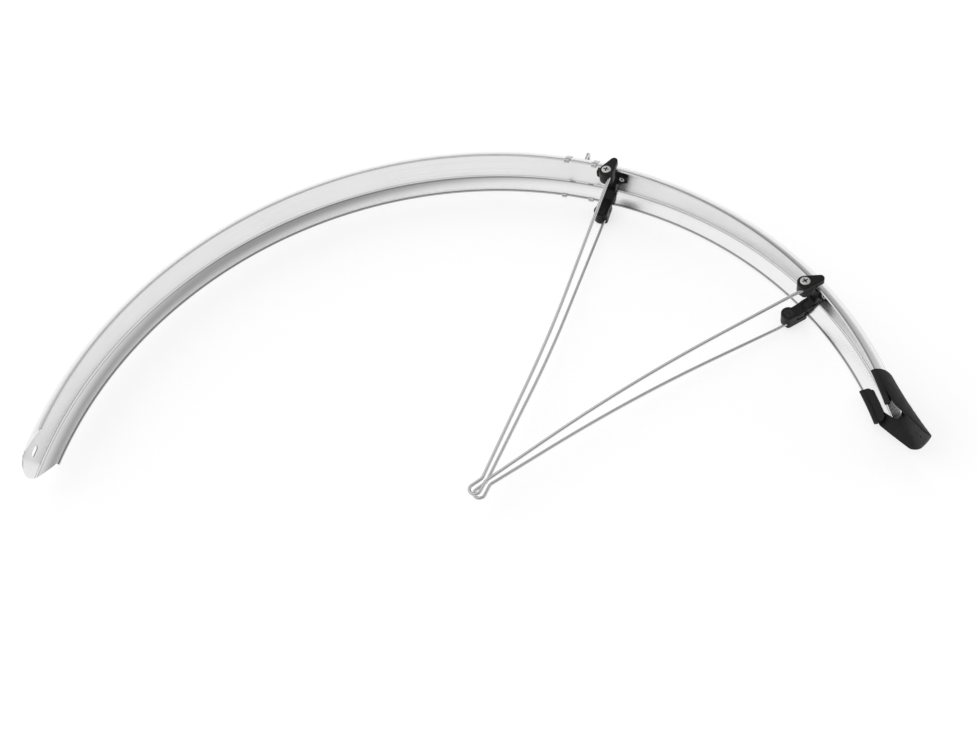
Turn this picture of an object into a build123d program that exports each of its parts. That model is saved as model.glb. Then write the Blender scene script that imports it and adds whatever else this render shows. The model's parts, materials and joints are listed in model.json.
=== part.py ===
from build123d import *
from math import asin, atan2, copysign, cos, degrees, hypot, radians, sin, sqrt, tan
import os

# Rear bicycle mudguard for a 28 inch wheel, lying on its side: an aluminium blade, a brake bridge
# clip, two moulded stay bridges with clamp caps, two V-shaped wire stays and a rubber mud flap.
# It is drawn about the wheel's axle (Z) and the blade's middle plane (Z = 0), in millimetres, with
# the near side up (+Z). At the end everything is set down, with its box centred over the origin.

# Blade section: radius from the axle and height from the middle plane
crease_radius = 364.8
flange_drop = 12.8
blade_width = 50.0
flange_width = 9.0
panel_crown = 1.2
flange_bow = 0.9
sheet = 0.8
hem_diameter = 2.4

# Blade ends, as angles about the axle from +X
rear_end_angle = 7.8
front_end_angle = 172.3
end_skew = 7.0
end_length = 76.0
end_breadth = 1.12
end_sides = 23
slot_angle = 168.6
slot_length = 11.0
slot_width = 5.0

# Play between pieces that are pressed, hooked or riveted together
fit = 0.15

# Brake bridge clip
clip_angle = 70.8
clip_skew = 7.0
clip_sheet = 0.8
clip_plate_width = 26.0
clip_leg_width = 4.6
clip_leg_spacing = 26.0
lug_width = 13.0
lug_height = 19.0
lug_thickness = 1.6
lug_hole = 5.5
slit_length = 5.3
slit_width = 0.9
slit_spacing = 17.5

# Stay bridges: angle about the axle and lean along the wheel from far to near side
bridge_places = {"upper": (66.2, 6.5), "lower": (30.3, 12.0)}
strap_thickness = 4.0
strap_width = 9.6
strap_end_width = 11.0
strap_end_length = 8.0
leg_step = 0.6
leg_rise = 1.6
ear_thickness = 2.4
ear_reach = 15.0
ear_root = 20.0
ear_tip = 6.4
ear_rise = 2.0
pocket_width = 6.4
pocket_depth = 0.9
panel_pocket = 10.0
panel_rib = 3.2
flange_pocket = 4.6
flange_rib = 3.2

# Clamps at the bridge ends
near_clamp_drop = 7.2
far_clamp_drop = 12.8
clamp_gap = 0.3
hem_gap = 0.4
pad_thickness = 6.0
pad_grip = 2.8
cap_thickness = 5.6
clamp_round = 6.6
pad_side_round = 2.7
cap_tip_reach = 13.0
cap_tip_offset = 3.2
cap_tip_round = 3.4
cap_edge = 1.0
screw_diameter = 4.0
screw_play = 0.2
screw_head = 8.8
screw_head_height = 2.3
screw_head_edge = 0.9
screw_head_sink = 1.2
recess_length = 5.0
recess_width = 1.2
recess_depth = 1.2
nut_size = 7.0
nut_height = 2.4

# Eyelet rivets
eyelet_spacing = 19.0
eyelet_tube = 3.0
eyelet_bore = 2.0
eyelet_hole_sides = 12
eyelet_flange = 4.8
eyelet_rim = 0.5
eyelet_seat = 0.05

# Wire stays
wire = 2.8
wire_play = 0.05
wire_offset = 4.2
wire_tip = 12.6
clamp_tail = 15.0
clamp_bend = 60.0
bow_distance = 150.0
bow_bend = 1400.0
near_apex = (24.3, 6.8)
far_apex = (26.6, 9.0)
apex_angle = 32.6
apex_height = 5.0
eye_drop = 4.5
eye_radius = 4.6
eye_spread = 6.0
neck_distance = 7.0
neck_bend = 7.0

# Mud flap
flap_angle = 11.4
flap_skew = 16.0
flap_wall = 1.8
flap_tail = 52.0
flap_end_width = 36.0
flap_shoulder_width = 51.0
flap_corner = 6.0
flap_flare = 105.0
flap_flare_angle = 10.0
flap_hole = 2.0
flap_hole_inset = 6.5
lip_length = 33.6
lip_reach = 9.5
lip_wall = 1.6

# Sizes that follow: the section's corners and the circles that its three arcs lie on
half_width = blade_width / 2
hem_radius = hem_diameter / 2
edge_radius = crease_radius - flange_drop
hem_r = edge_radius + hem_radius
hem_z = half_width - hem_radius
crease_z = half_width - flange_width
flange_length = hypot(crease_radius - hem_r, hem_z - crease_z)
panel_arc = (crease_z**2 + panel_crown**2) / (2 * panel_crown)
panel_centre = (crease_radius + panel_crown - panel_arc, 0.0)
flange_arc = ((flange_length / 2) ** 2 + flange_bow**2) / (2 * flange_bow)
flange_depth = (flange_arc - flange_bow) / flange_length
flange_centre = (
    (hem_r + crease_radius) / 2 - (hem_z - crease_z) * flange_depth,
    (hem_z + crease_z) / 2 - (crease_radius - hem_r) * flange_depth,
)
skin = sheet / 2
crown_radius = crease_radius + panel_crown

# Sizes that follow: heights in the clamps above the middle plane
pad_face = half_width + hem_gap
pad_back = pad_face - pad_thickness
wire_height = pad_face + wire / 2
cap_face = pad_face + clamp_gap
cap_top = cap_face + cap_thickness
head_seat = cap_top - screw_head_sink
head_top = head_seat + screw_head_height

# Reach of a cut that passes right through the section
through = flange_drop + far_clamp_drop + half_width


def polar(radius, angle, height=0.0):
    """Point at a radius and an angle about the axle."""
    return (radius * cos(radians(angle)), radius * sin(radians(angle)), height)


def radial_plane(angle):
    """Plane through the axle: local x is the radius, local y the height."""
    return Plane((0, 0, 0), x_dir=polar(1, angle), z_dir=polar(1, angle - 90))


def facing_plane(radius, angle, height=0.0):
    """Plane that faces out from the axle: local x runs round the wheel, local y is the height."""
    return Plane(polar(radius, angle, height), x_dir=polar(1, angle + 90), z_dir=polar(1, angle))


def lean(along, height, skew):
    """Point on a facing plane, set back along the wheel in step with its height."""
    return (along - height * tan(radians(skew)), height)


def draw_bar(skew, middle, width, low, high):
    """Leaning bar of an outline, from one height to another."""
    Polygon(
        lean(middle - width / 2, low, skew),
        lean(middle + width / 2, low, skew),
        lean(middle + width / 2, high, skew),
        lean(middle - width / 2, high, skew),
        align=None,
    )


def arc_angle(length):
    """Angle about the axle of a length along the blade's creases."""
    return degrees(length / crease_radius)


def near(point):
    """A point of the section as it is, on the near side."""
    return point


def far(point):
    """The same point of the section on the far side."""
    return (point[0], -point[1])


def flange_point(offset, share):
    """Point of the near flange, a share of the way from hem to crease, offset outwards."""
    start = atan2(hem_z - flange_centre[1], hem_r - flange_centre[0])
    stop = atan2(crease_z - flange_centre[1], crease_radius - flange_centre[0])
    turn = start + share * (stop - start)
    reach = flange_arc + offset
    return (flange_centre[0] + reach * cos(turn), flange_centre[1] + reach * sin(turn))


def crease_point(offset):
    """Corner where the offset panel and the offset near flange cross."""
    panel = panel_arc + offset
    flange = flange_arc + offset
    step_r = flange_centre[0] - panel_centre[0]
    step_z = flange_centre[1] - panel_centre[1]
    step = hypot(step_r, step_z)
    along = (step**2 + panel**2 - flange**2) / (2 * step)
    across = sqrt(panel**2 - along**2)
    foot_r = panel_centre[0] + along * step_r / step
    foot_z = panel_centre[1] + along * step_z / step
    crossings = [
        (foot_r - turn * across * step_z / step, foot_z + turn * across * step_r / step)
        for turn in (1, -1)
    ]
    return max(crossings)


def draw_skin(offset):
    """Three arcs of the blade's section, hem to hem, offset outwards from the sheet's middle."""
    hem = flange_point(offset, 0)
    middle = flange_point(offset, 0.5)
    crease = crease_point(offset)
    ThreePointArc(far(hem), far(middle), far(crease))
    ThreePointArc(far(crease), (crown_radius + offset, 0), crease)
    ThreePointArc(crease, middle, hem)


def draw_band(inner, outer):
    """Closed outline between two offsets of the blade's section."""
    draw_skin(inner)
    draw_skin(outer)
    Line(flange_point(inner, 0), flange_point(outer, 0))
    Line(far(flange_point(inner, 0)), far(flange_point(outer, 0)))


def eyelet_plane(place, end, radius):
    """Plane that faces out at one of a bridge's two eyelets, end -1 or 1."""
    angle, skew = place
    along, height = lean(end * eyelet_spacing / 2, ear_rise, skew)
    return facing_plane(radius, angle + arc_angle(along), height)


# Blade: the section turned about the axle, with ends that are elliptical on the flat strip. The
# ellipse stops at the hem's inner side, and the hem is cut square there.
flat_half = crease_z + flange_length + hem_radius
end_half = end_breadth * flat_half
fold_share = flange_width / (flat_half - crease_z)
hem_inner = hem_z - hem_radius - fit
flat_hem = crease_z + (hem_inner - crease_z) / fold_share
end_turn = degrees(asin(flat_hem / end_half))
end_trim = arc_angle(half_width / 2)
hem_swing = arc_angle(end_length)
hem_places = [Location((hem_r, height, 0), (0, 0, 180)) for height in (hem_z, -hem_z)]


def end_point(end, turn):
    """Point of an end's ellipse, turn degrees from its tip, folded down at the crease."""
    across = end_half * sin(radians(turn))
    along = end * end_length * (cos(radians(turn)) - 1)
    past_crease = max(abs(across) - crease_z, 0.0)
    folded = past_crease * (1 - fold_share)
    return lean(along, copysign(abs(across) - folded, across), end_skew)


with BuildPart() as mudguard_blade:
    with BuildSketch(radial_plane(rear_end_angle - end_trim)):
        with BuildLine():
            draw_band(-skin, skin)
        make_face()
        with Locations(*hem_places):
            Circle(hem_radius)
    revolve(axis=Axis.Z, revolution_arc=front_end_angle - rear_end_angle + 2 * end_trim)
    for end_angle, end in ((rear_end_angle, -1), (front_end_angle, 1)):
        turns = [end_turn * (2 * step / end_sides - 1) for step in range(end_sides + 1)]
        outline = [end_point(end, turn) for turn in turns]
        with BuildSketch(facing_plane(crease_radius, end_angle)):
            Polygon(*outline, (end * half_width, hem_inner), (end * half_width, -hem_inner), align=None)
        extrude(amount=through, both=True, mode=Mode.SUBTRACT)
        for side, corner in ((-1, outline[0]), (1, outline[-1])):
            hem_end = end_angle + degrees((corner[0] - end * hem_radius) / hem_r)
            with BuildSketch(radial_plane(hem_end if end > 0 else hem_end - hem_swing)):
                with Locations((hem_r, side * hem_z)):
                    Rectangle(2 * flange_drop, 2 * (hem_z - hem_inner + fit))
            revolve(axis=Axis.Z, revolution_arc=hem_swing, mode=Mode.SUBTRACT)
    with BuildSketch(facing_plane(crease_radius, slot_angle)):
        SlotOverall(slot_length, slot_width)
    extrude(amount=flange_width, both=True, mode=Mode.SUBTRACT)
    with BuildSketch(facing_plane(crease_radius, clip_angle)):
        for slit_z in (crease_z - skin, skin - crease_z):
            with Locations(lean(0, slit_z, clip_skew)):
                with GridLocations(slit_spacing, 1, 2, 1):
                    Rectangle(slit_length, slit_width)
    extrude(amount=3 * sheet, both=True, mode=Mode.SUBTRACT)
    for place in bridge_places.values():
        for end in (-1, 1):
            with BuildSketch(eyelet_plane(place, end, crease_radius)):
                RegularPolygon(eyelet_tube / 2 + fit, eyelet_hole_sides, major_radius=False)
            extrude(amount=flange_width, both=True, mode=Mode.SUBTRACT)


# Brake bridge clip: a plate on the blade's back, legs that hook round the hems, an upright bolt lug
clip_inner = skin + fit
clip_outer = clip_inner + clip_sheet
clip_length = clip_leg_spacing + clip_leg_width
clip_frame = facing_plane(crown_radius + clip_inner + clip_sheet / 2, clip_angle)
lug_rise = lug_height - lug_width / 2
hook_share = 2 * (hem_radius + fit + clip_sheet) / flange_length

with BuildPart() as brake_bridge_clip:
    with BuildSketch(radial_plane(clip_angle - arc_angle(clip_length))):
        with BuildLine():
            draw_band(clip_inner, clip_outer)
        make_face()
        with Locations((hem_r, hem_z), (hem_r, -hem_z)):
            Circle(hem_radius + fit + clip_sheet)
            Circle(hem_radius + fit, mode=Mode.SUBTRACT)
        for turn_over in (near, far):
            Polygon(
                turn_over(flange_point(clip_inner, 0)),
                turn_over(flange_point(clip_inner, hook_share)),
                turn_over(flange_point(-clip_outer, hook_share)),
                turn_over(flange_point(-clip_outer, 0)),
                align=None,
                mode=Mode.SUBTRACT,
            )
    revolve(axis=Axis.Z, revolution_arc=2 * arc_angle(clip_length))
    with BuildSketch(clip_frame):
        draw_bar(clip_skew, 0, clip_length, -clip_plate_width / 2, clip_plate_width / 2)
        for leg in (-clip_leg_spacing / 2, clip_leg_spacing / 2):
            draw_bar(clip_skew, leg, clip_leg_width, -blade_width, blade_width)
    extrude(amount=through, both=True, mode=Mode.INTERSECT)
    with BuildSketch(Plane(clip_frame.origin, x_dir=clip_frame.y_dir, z_dir=clip_frame.x_dir)):
        with Locations((0, lug_rise / 2)):
            Rectangle(lug_width, lug_rise)
        with Locations((0, lug_rise)):
            Circle(lug_width / 2)
            Circle(lug_hole / 2, mode=Mode.SUBTRACT)
    extrude(amount=lug_thickness / 2, both=True)


def clamp_radius(side):
    """Radius of the clamp screws from the axle on the near or far side."""
    return edge_radius - (near_clamp_drop if side > 0 else far_clamp_drop)


def screw_place(place, side):
    """Screw's axis at one end of a bridge."""
    angle, skew = place
    along, _ = lean(0, side * wire_height, skew)
    return Vector(*polar(clamp_radius(side), angle)) + Vector(*polar(along, angle + 90))


def apex_place(side):
    """Point where a stay's two legs would meet, and the angle of the line that halves them."""
    apex = Vector(*(near_apex if side > 0 else far_apex))
    upper, lower = [screw_place(place, side) - apex for place in bridge_places.values()]
    middle = degrees(atan2(upper.Y, upper.X) + atan2(lower.Y, lower.X)) / 2
    return apex, middle


def leg_angle(level, side):
    """Angle of a stay's leg at the apex."""
    return apex_place(side)[1] + (apex_angle / 2 if level == "upper" else -apex_angle / 2)


def bow_place(level, side):
    """Point where a stay's leg bends towards its clamp."""
    return apex_place(side)[0] + Vector(*polar(bow_distance, leg_angle(level, side)))


def clamp_place(level, side):
    """Screw's place at one end of a bridge, and the angle of the wire beside it."""
    screw = screw_place(bridge_places[level], side)
    reach = screw - bow_place(level, side)
    wire_angle = degrees(atan2(reach.Y, reach.X) - asin(wire_offset / reach.length))
    return screw.X, screw.Y, wire_angle


def clamp_plane(clamp, side, height):
    """Plane at a height in a clamp: local x runs along the wire, local z away from the blade."""
    x, y, wire_angle = clamp
    return Plane((x, y, side * height), x_dir=polar(1, wire_angle), z_dir=(0, 0, side))


def wire_point(clamp, side, along):
    """Point on the wire's axis, a distance along it outwards from beside the screw."""
    x, y, wire_angle = clamp
    foot = Vector(x, y, side * wire_height) + Vector(*polar(wire_offset, wire_angle - 90))
    return foot + Vector(*polar(along, wire_angle))


def draw_clamp(side, *rounds):
    """Outline round the screw and further rounds beside the wire, each as reach, offset and radius."""
    Circle(clamp_round)
    for reach, offset, radius in rounds:
        with Locations((reach, -side * offset)):
            Circle(radius)
    make_hull()


def make_bridge(level):
    """Moulded strap that follows the blade's inside and ends in a clamp pad beyond each hem."""
    place = bridge_places[level]
    angle, skew = place
    back = skin + fit
    front = back + strap_thickness
    swing = arc_angle(2 * ear_reach)
    frame = facing_plane(crease_radius, angle)
    leg_top = flange_point(-back, 0)
    leg_bottom = flange_point(-front, 0)

    with BuildPart() as ear_relief:
        with BuildSketch(radial_plane(angle - swing)):
            with BuildLine():
                draw_band(-front - pocket_depth, -back - ear_thickness)
            make_face()
        revolve(axis=Axis.Z, revolution_arc=2 * swing)
        with BuildSketch(frame):
            for ear in (-1, 1):
                middle = ear * (strap_width + ear_reach) / 2
                draw_bar(skew, middle, ear_reach, ear_rise - ear_root / 2, ear_rise + ear_root / 2)
        extrude(amount=through, both=True, mode=Mode.INTERSECT)

    with BuildPart() as pockets:
        with BuildSketch(radial_plane(angle - swing)):
            with BuildLine():
                draw_band(-front - pocket_depth, -front + pocket_depth)
            make_face()
        revolve(axis=Axis.Z, revolution_arc=2 * swing)
        with BuildSketch(frame):
            for side in (-1, 1):
                first = side * panel_rib / 2
                second = first + side * (panel_pocket + flange_rib)
                draw_bar(skew, 0, pocket_width, first, first + side * panel_pocket)
                draw_bar(skew, 0, pocket_width, second, second + side * flange_pocket)
        extrude(amount=through, both=True, mode=Mode.INTERSECT)

    with BuildPart() as bridge:
        with BuildSketch(radial_plane(angle - swing)):
            with BuildLine():
                draw_band(-front, -back)
            make_face()
            for side in (1, -1):
                Polygon(
                    (leg_top[0], side * leg_top[1]),
                    (leg_bottom[0], side * leg_bottom[1]),
                    (clamp_radius(side), side * (pad_back + leg_rise)),
                    (clamp_radius(side), side * (pad_face - leg_step)),
                    (edge_radius - hem_radius, side * (pad_face - leg_step)),
                    align=None,
                )
            with Locations((hem_r, hem_z), (hem_r, -hem_z)):
                Circle(hem_radius + fit, mode=Mode.SUBTRACT)
        revolve(axis=Axis.Z, revolution_arc=2 * swing)
        with BuildSketch(frame):
            draw_bar(skew, 0, strap_width, -blade_width, blade_width)
            for side in (-1, 1):
                draw_bar(skew, 0, strap_end_width, side * (pad_face - strap_end_length), side * pad_face)
            Polygon(
                (0, ear_rise + ear_root / 2),
                (-ear_reach, ear_rise + ear_tip / 2),
                (-ear_reach, ear_rise - ear_tip / 2),
                (0, ear_rise - ear_root / 2),
                (ear_reach, ear_rise - ear_tip / 2),
                (ear_reach, ear_rise + ear_tip / 2),
                align=None,
            )
        extrude(amount=through, both=True, mode=Mode.INTERSECT)
        add(ear_relief.part, mode=Mode.SUBTRACT)
        add(pockets.part, mode=Mode.SUBTRACT)
        for side in (1, -1):
            clamp = clamp_place(level, side)
            with BuildSketch(clamp_plane(clamp, side, pad_back)):
                draw_clamp(
                    side,
                    (pad_grip, wire_offset, pad_side_round),
                    (-pad_grip, wire_offset, pad_side_round),
                )
            extrude(amount=pad_thickness)
            with BuildSketch(clamp_plane(clamp, side, pad_back)):
                Circle(screw_diameter / 2 + screw_play)
            extrude(amount=2 * pad_thickness, both=True, mode=Mode.SUBTRACT)
            with BuildSketch(clamp_plane(clamp, side, pad_back)):
                Rectangle(nut_size + 2 * fit, nut_size + 2 * fit)
            extrude(amount=nut_height, both=True, mode=Mode.SUBTRACT)
        for end in (-1, 1):
            with BuildSketch(eyelet_plane(place, end, crease_radius)):
                RegularPolygon(eyelet_tube / 2 + fit, eyelet_hole_sides, major_radius=False)
            extrude(amount=flange_width, both=True, mode=Mode.SUBTRACT)
    return bridge


def make_cap(clamp, side):
    """Clamp cap with a groove for the wire and a sunk seat for the screw's head."""
    with BuildPart() as cap:
        with BuildSketch(clamp_plane(clamp, side, cap_face)):
            draw_clamp(
                side,
                (cap_tip_reach, cap_tip_offset, cap_tip_round),
                (-pad_grip, wire_offset, pad_side_round),
            )
        extrude(amount=cap_thickness)
        outer_face = cap.faces().sort_by(Axis.Z)[-1 if side > 0 else 0]
        fillet(outer_face.edges(), cap_edge)
        with Locations(clamp_plane(clamp, side, cap_top)):
            CounterBoreHole(screw_diameter / 2 + screw_play, screw_head / 2 + screw_play, screw_head_sink)
        groove_start = wire_point(clamp, side, -clamp_tail)
        with BuildSketch(Plane(groove_start, x_dir=(0, 0, side), z_dir=polar(1, clamp[2]))):
            Circle(wire / 2 + wire_play)
            with Locations((-wire / 2, 0)):
                Rectangle(wire, wire + 2 * wire_play)
        extrude(amount=clamp_tail + wire_tip + fit, mode=Mode.SUBTRACT)
    return cap


def make_screw(clamp, side):
    """Pan-head screw with a cross recess."""
    with BuildPart() as screw:
        with BuildSketch(clamp_plane(clamp, side, head_seat)):
            Circle(screw_head / 2)
        extrude(amount=screw_head_height)
        outer_face = screw.faces().sort_by(Axis.Z)[-1 if side > 0 else 0]
        fillet(outer_face.edges(), screw_head_edge)
        with BuildSketch(clamp_plane(clamp, side, pad_back)):
            Circle(screw_diameter / 2)
        extrude(amount=head_seat - pad_back)
        with BuildSketch(clamp_plane(clamp, side, head_top)):
            Rectangle(recess_length, recess_width)
            Rectangle(recess_width, recess_length)
        extrude(amount=-recess_depth, mode=Mode.SUBTRACT)
    return screw


def make_nut(clamp, side):
    """Square nut held in the back of a clamp pad."""
    with BuildPart() as nut:
        with BuildSketch(clamp_plane(clamp, side, pad_back)):
            Rectangle(nut_size, nut_size)
            Circle(screw_diameter / 2 + wire_play, mode=Mode.SUBTRACT)
        extrude(amount=nut_height)
    return nut


def make_eyelet(place, end):
    """Tubular rivet through a bridge's ear and the blade, with a rolled rim at both ends."""
    rim_drop = panel_arc - sqrt(panel_arc**2 - (ear_rise + eyelet_flange / 2) ** 2)
    ear_face = crown_radius - skin - fit - ear_thickness - rim_drop - eyelet_seat
    blade_face = crown_radius + skin + eyelet_seat
    with BuildPart() as eyelet:
        for rim_start in (ear_face - eyelet_rim, blade_face):
            with BuildSketch(eyelet_plane(place, end, rim_start)):
                Circle(eyelet_flange / 2)
            extrude(amount=eyelet_rim)
        with BuildSketch(eyelet_plane(place, end, ear_face)):
            Circle(eyelet_tube / 2)
        extrude(amount=blade_face - ear_face)
        with BuildSketch(eyelet_plane(place, end, ear_face - eyelet_rim)):
            Circle(eyelet_bore / 2)
        extrude(amount=blade_face - ear_face + 2 * eyelet_rim, mode=Mode.SUBTRACT)
    return eyelet


def make_stay(side):
    """V of bent wire from one bridge, round the eye at the axle, to the other bridge."""
    apex, middle = apex_place(side)
    eye_foot = apex - Vector(*polar(eye_drop + eye_radius, middle, -side * apex_height))
    eye_corner = Vector(*polar(eye_spread, middle + 90))
    legs = []
    for level in bridge_places:
        clamp = clamp_place(level, side)
        kink = wire_point(clamp, side, -clamp_tail)
        bow = bow_place(level, side)
        inner_run = bow_distance - neck_distance
        outer_run = (Vector(kink.X, kink.Y) - bow).length
        climb = (wire_height - apex_height) * inner_run / (inner_run + outer_run)
        neck = apex + Vector(*polar(neck_distance, leg_angle(level, side), side * apex_height))
        bow += Vector(0, 0, side * (apex_height + climb))
        legs.append([wire_point(clamp, side, wire_tip), kink, bow, neck])
    upper, lower = legs
    points = upper + [eye_foot + eye_corner, eye_foot - eye_corner] + lower[::-1]
    bends = [clamp_bend, bow_bend, neck_bend, eye_radius]
    with BuildPart() as stay:
        with BuildLine() as route:
            FilletPolyline(*points, radius=bends + bends[::-1])
        with BuildSketch(Plane(route.line @ 0, z_dir=route.line % 0)):
            Circle(wire / 2)
        sweep(path=route.line)
    return stay


# Mud flap: a channel that hooks over both hems, and a tongue that flares out and narrows
flap_inner = skin + fit
flap_outer = flap_inner + flap_wall
lip_share = lip_reach / flange_length
flap_frame = facing_plane(crease_radius, flap_angle)
flap_swing = arc_angle(flap_tail + half_width)
flare_axis = Axis(polar(crease_radius + flap_flare, flap_flare_angle), (0, 0, 1))

with BuildPart() as flap_channel:
    with BuildSketch(radial_plane(flap_angle - flap_swing)):
        with BuildLine():
            draw_band(flap_inner, flap_outer)
        make_face()
        for side in (1, -1):
            lip_points = [
                flange_point(offset, share)
                for offset in (-skin, -flap_inner - lip_wall)
                for share in (0, lip_share / 2, lip_share)
            ]
            back_hem, back_middle, back_tip, hem, middle, tip = [(r, side * z) for r, z in lip_points]
            with BuildLine():
                ThreePointArc(back_hem, back_middle, back_tip)
                Line(back_tip, tip)
                ThreePointArc(tip, middle, hem)
                Line(hem, back_hem)
            make_face()
        with Locations((hem_r, hem_z), (hem_r, -hem_z)):
            Circle(hem_radius + fit + lip_wall)
            Circle(hem_radius + fit, mode=Mode.SUBTRACT)
        with BuildLine():
            draw_band(-flap_inner, flap_inner)
        make_face(mode=Mode.SUBTRACT)
    revolve(axis=Axis.Z, revolution_arc=2 * flap_swing)
    with BuildSketch(flap_frame):
        draw_bar(flap_skew, 0, lip_length, -blade_width, blade_width)
    extrude(amount=through, both=True, mode=Mode.INTERSECT)

with BuildPart() as mud_flap:
    with BuildSketch(radial_plane(flap_flare_angle)):
        with BuildLine():
            draw_band(flap_inner, flap_outer)
        make_face()
    revolve(axis=flare_axis, revolution_arc=degrees(2 * flap_tail / flap_flare))
    with BuildSketch(flap_frame) as flap_outline:
        Polygon(
            lean(0, flap_shoulder_width / 2, flap_skew),
            lean(-lip_length / 2, flap_shoulder_width / 2, flap_skew),
            lean(-flap_tail, flap_end_width / 2, flap_skew),
            lean(-flap_tail, -flap_end_width / 2, flap_skew),
            lean(-lip_length / 2, -flap_shoulder_width / 2, flap_skew),
            lean(0, -flap_shoulder_width / 2, flap_skew),
            align=None,
        )
        fillet(flap_outline.vertices().sort_by(Axis.X)[:2], flap_corner)
    extrude(amount=through, both=True, mode=Mode.INTERSECT)
    with BuildSketch(flap_frame):
        with Locations((flap_hole_inset - flap_tail, 0)):
            Circle(flap_hole / 2)
    extrude(amount=through, both=True, mode=Mode.SUBTRACT)
    add(flap_channel.part)


# All pieces by name
pieces = {
    "mudguard_blade": mudguard_blade,
    "brake_bridge_clip": brake_bridge_clip,
    "mud_flap": mud_flap,
    "near_stay": make_stay(1),
    "far_stay": make_stay(-1),
}
for level, place in bridge_places.items():
    pieces[f"{level}_stay_bridge"] = make_bridge(level)
    for side_name, side in (("near", 1), ("far", -1)):
        clamp = clamp_place(level, side)
        pieces[f"{level}_{side_name}_clamp_cap"] = make_cap(clamp, side)
        pieces[f"{level}_{side_name}_clamp_screw"] = make_screw(clamp, side)
        pieces[f"{level}_{side_name}_clamp_nut"] = make_nut(clamp, side)
    for end_name, end in (("rear", -1), ("front", 1)):
        pieces[f"{level}_{end_name}_eyelet"] = make_eyelet(place, end)

# Set everything down: the box's centre over the origin, its underside at Z = 0
box = mudguard_blade.part.bounding_box()
for piece in pieces.values():
    box = box.add(piece.part.bounding_box())
set_down = Location((-box.center().X, -box.center().Y, -box.min.Z))
os.makedirs("parts", exist_ok=True)
for node, piece in pieces.items():
    piece.part = piece.part.moved(set_down)
    piece.part.label = node
    export_step(piece.part, f"parts/{node}.step")
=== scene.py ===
import json

import bmesh
import bpy
import numpy as np
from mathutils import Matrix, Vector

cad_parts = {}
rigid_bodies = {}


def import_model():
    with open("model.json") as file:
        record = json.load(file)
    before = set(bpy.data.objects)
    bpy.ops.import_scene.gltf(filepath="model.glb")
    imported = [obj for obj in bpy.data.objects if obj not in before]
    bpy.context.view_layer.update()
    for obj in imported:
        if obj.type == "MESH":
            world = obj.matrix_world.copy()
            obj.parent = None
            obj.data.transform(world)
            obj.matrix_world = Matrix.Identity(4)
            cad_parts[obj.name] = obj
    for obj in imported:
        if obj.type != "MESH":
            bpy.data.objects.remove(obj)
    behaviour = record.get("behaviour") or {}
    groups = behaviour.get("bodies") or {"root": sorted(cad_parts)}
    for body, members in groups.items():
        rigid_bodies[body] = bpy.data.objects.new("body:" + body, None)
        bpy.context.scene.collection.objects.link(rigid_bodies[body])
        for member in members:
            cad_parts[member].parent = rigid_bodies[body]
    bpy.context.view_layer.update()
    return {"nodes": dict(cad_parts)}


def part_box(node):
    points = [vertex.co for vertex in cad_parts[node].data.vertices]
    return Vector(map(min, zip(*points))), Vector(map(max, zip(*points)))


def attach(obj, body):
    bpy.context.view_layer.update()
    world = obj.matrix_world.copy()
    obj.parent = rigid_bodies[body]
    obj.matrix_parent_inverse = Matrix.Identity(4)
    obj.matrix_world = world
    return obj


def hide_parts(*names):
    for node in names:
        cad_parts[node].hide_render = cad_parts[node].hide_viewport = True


for thing in list(bpy.data.objects):
    bpy.data.objects.remove(thing)

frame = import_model()
nodes = frame["nodes"]
scene = bpy.context.scene

# Blade
# A strip of aluminium sheet, rolled to a crowned panel between two bowed flanges, with a round hem
# along each edge. It is curled round the wheel, rounded at both ends, punched and polished.
MM = 0.001
axle = np.array([-8.960, -181.857, 32.4])
crease_radius = 364.8
flange_drop = 12.8
half_width = 25.0
crease_z = 16.0
panel_crown = 1.2
flange_bow = 0.9
skin = 0.4
hem_radius = 1.2
hem_roll = 0.85
crease_round = 0.9
rear_end_angle = 7.8
front_end_angle = 172.3
end_skew = np.tan(np.radians(7.0))
end_length = 76.0
end_breadth = 1.12
hem_play = 0.15
slot_angle = 168.6
slot_length = 11.0
slot_width = 5.0
slit_angle = 70.8
slit_spacing = 17.5
slit_length = 5.3
slit_width = 0.9
rivet_hole = 1.65
blade_steps = 300
flange_count = 22
flange_crowding = 1.6
flange_ease = np.linspace(0, 1, flange_count) ** flange_crowding
panel_count = 25
bend_count = 6
roll_count = 9
roll_turn = 171.0
slot_count = 13
hole_sides = 24
punch_depth = 9.0
slit_depth = 2.4
sharp_angle = np.radians(35.0)
# Widths and share of the painted shade along the hems' crevices and beside the creases
hem_shade_width = 1.5
roll_shade_fade = 0.5
crease_shade_width = 0.8
crease_shade_share = 0.5

hem_centre = np.array([crease_radius - flange_drop + hem_radius, half_width - hem_radius])
crease_corner = np.array([crease_radius, crease_z])
flange_run = crease_corner - hem_centre
flange_length = np.hypot(*flange_run)
panel_arc = (crease_z**2 + panel_crown**2) / (2 * panel_crown)
panel_centre = np.array([crease_radius + panel_crown - panel_arc, 0.0])
flange_arc = ((flange_length / 2) ** 2 + flange_bow**2) / (2 * flange_bow)
flange_back = np.array([flange_run[1], -flange_run[0]]) * (flange_arc - flange_bow) / flange_length
flange_centre = (hem_centre + crease_corner) / 2 + flange_back
hem_turn = np.arctan2(hem_centre[1] - flange_centre[1], hem_centre[0] - flange_centre[0])
crease_turn = np.arctan2(crease_corner[1] - flange_centre[1], crease_corner[0] - flange_centre[0])
hem_out = np.array([np.cos(hem_turn), np.sin(hem_turn)])
hem_along = np.array([np.sin(hem_turn), -np.cos(hem_turn)])
other_side = np.array([1.0, -1.0])


def wheel_point(radius, angle, height):
    """Point at a radius and an angle (radians) about the axle and a height from the middle plane."""
    radius, angle, height = np.broadcast_arrays(radius, angle, height)
    place = np.stack([radius * np.cos(angle), radius * np.sin(angle), height], axis=-1)
    return (place + axle) * MM


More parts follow.
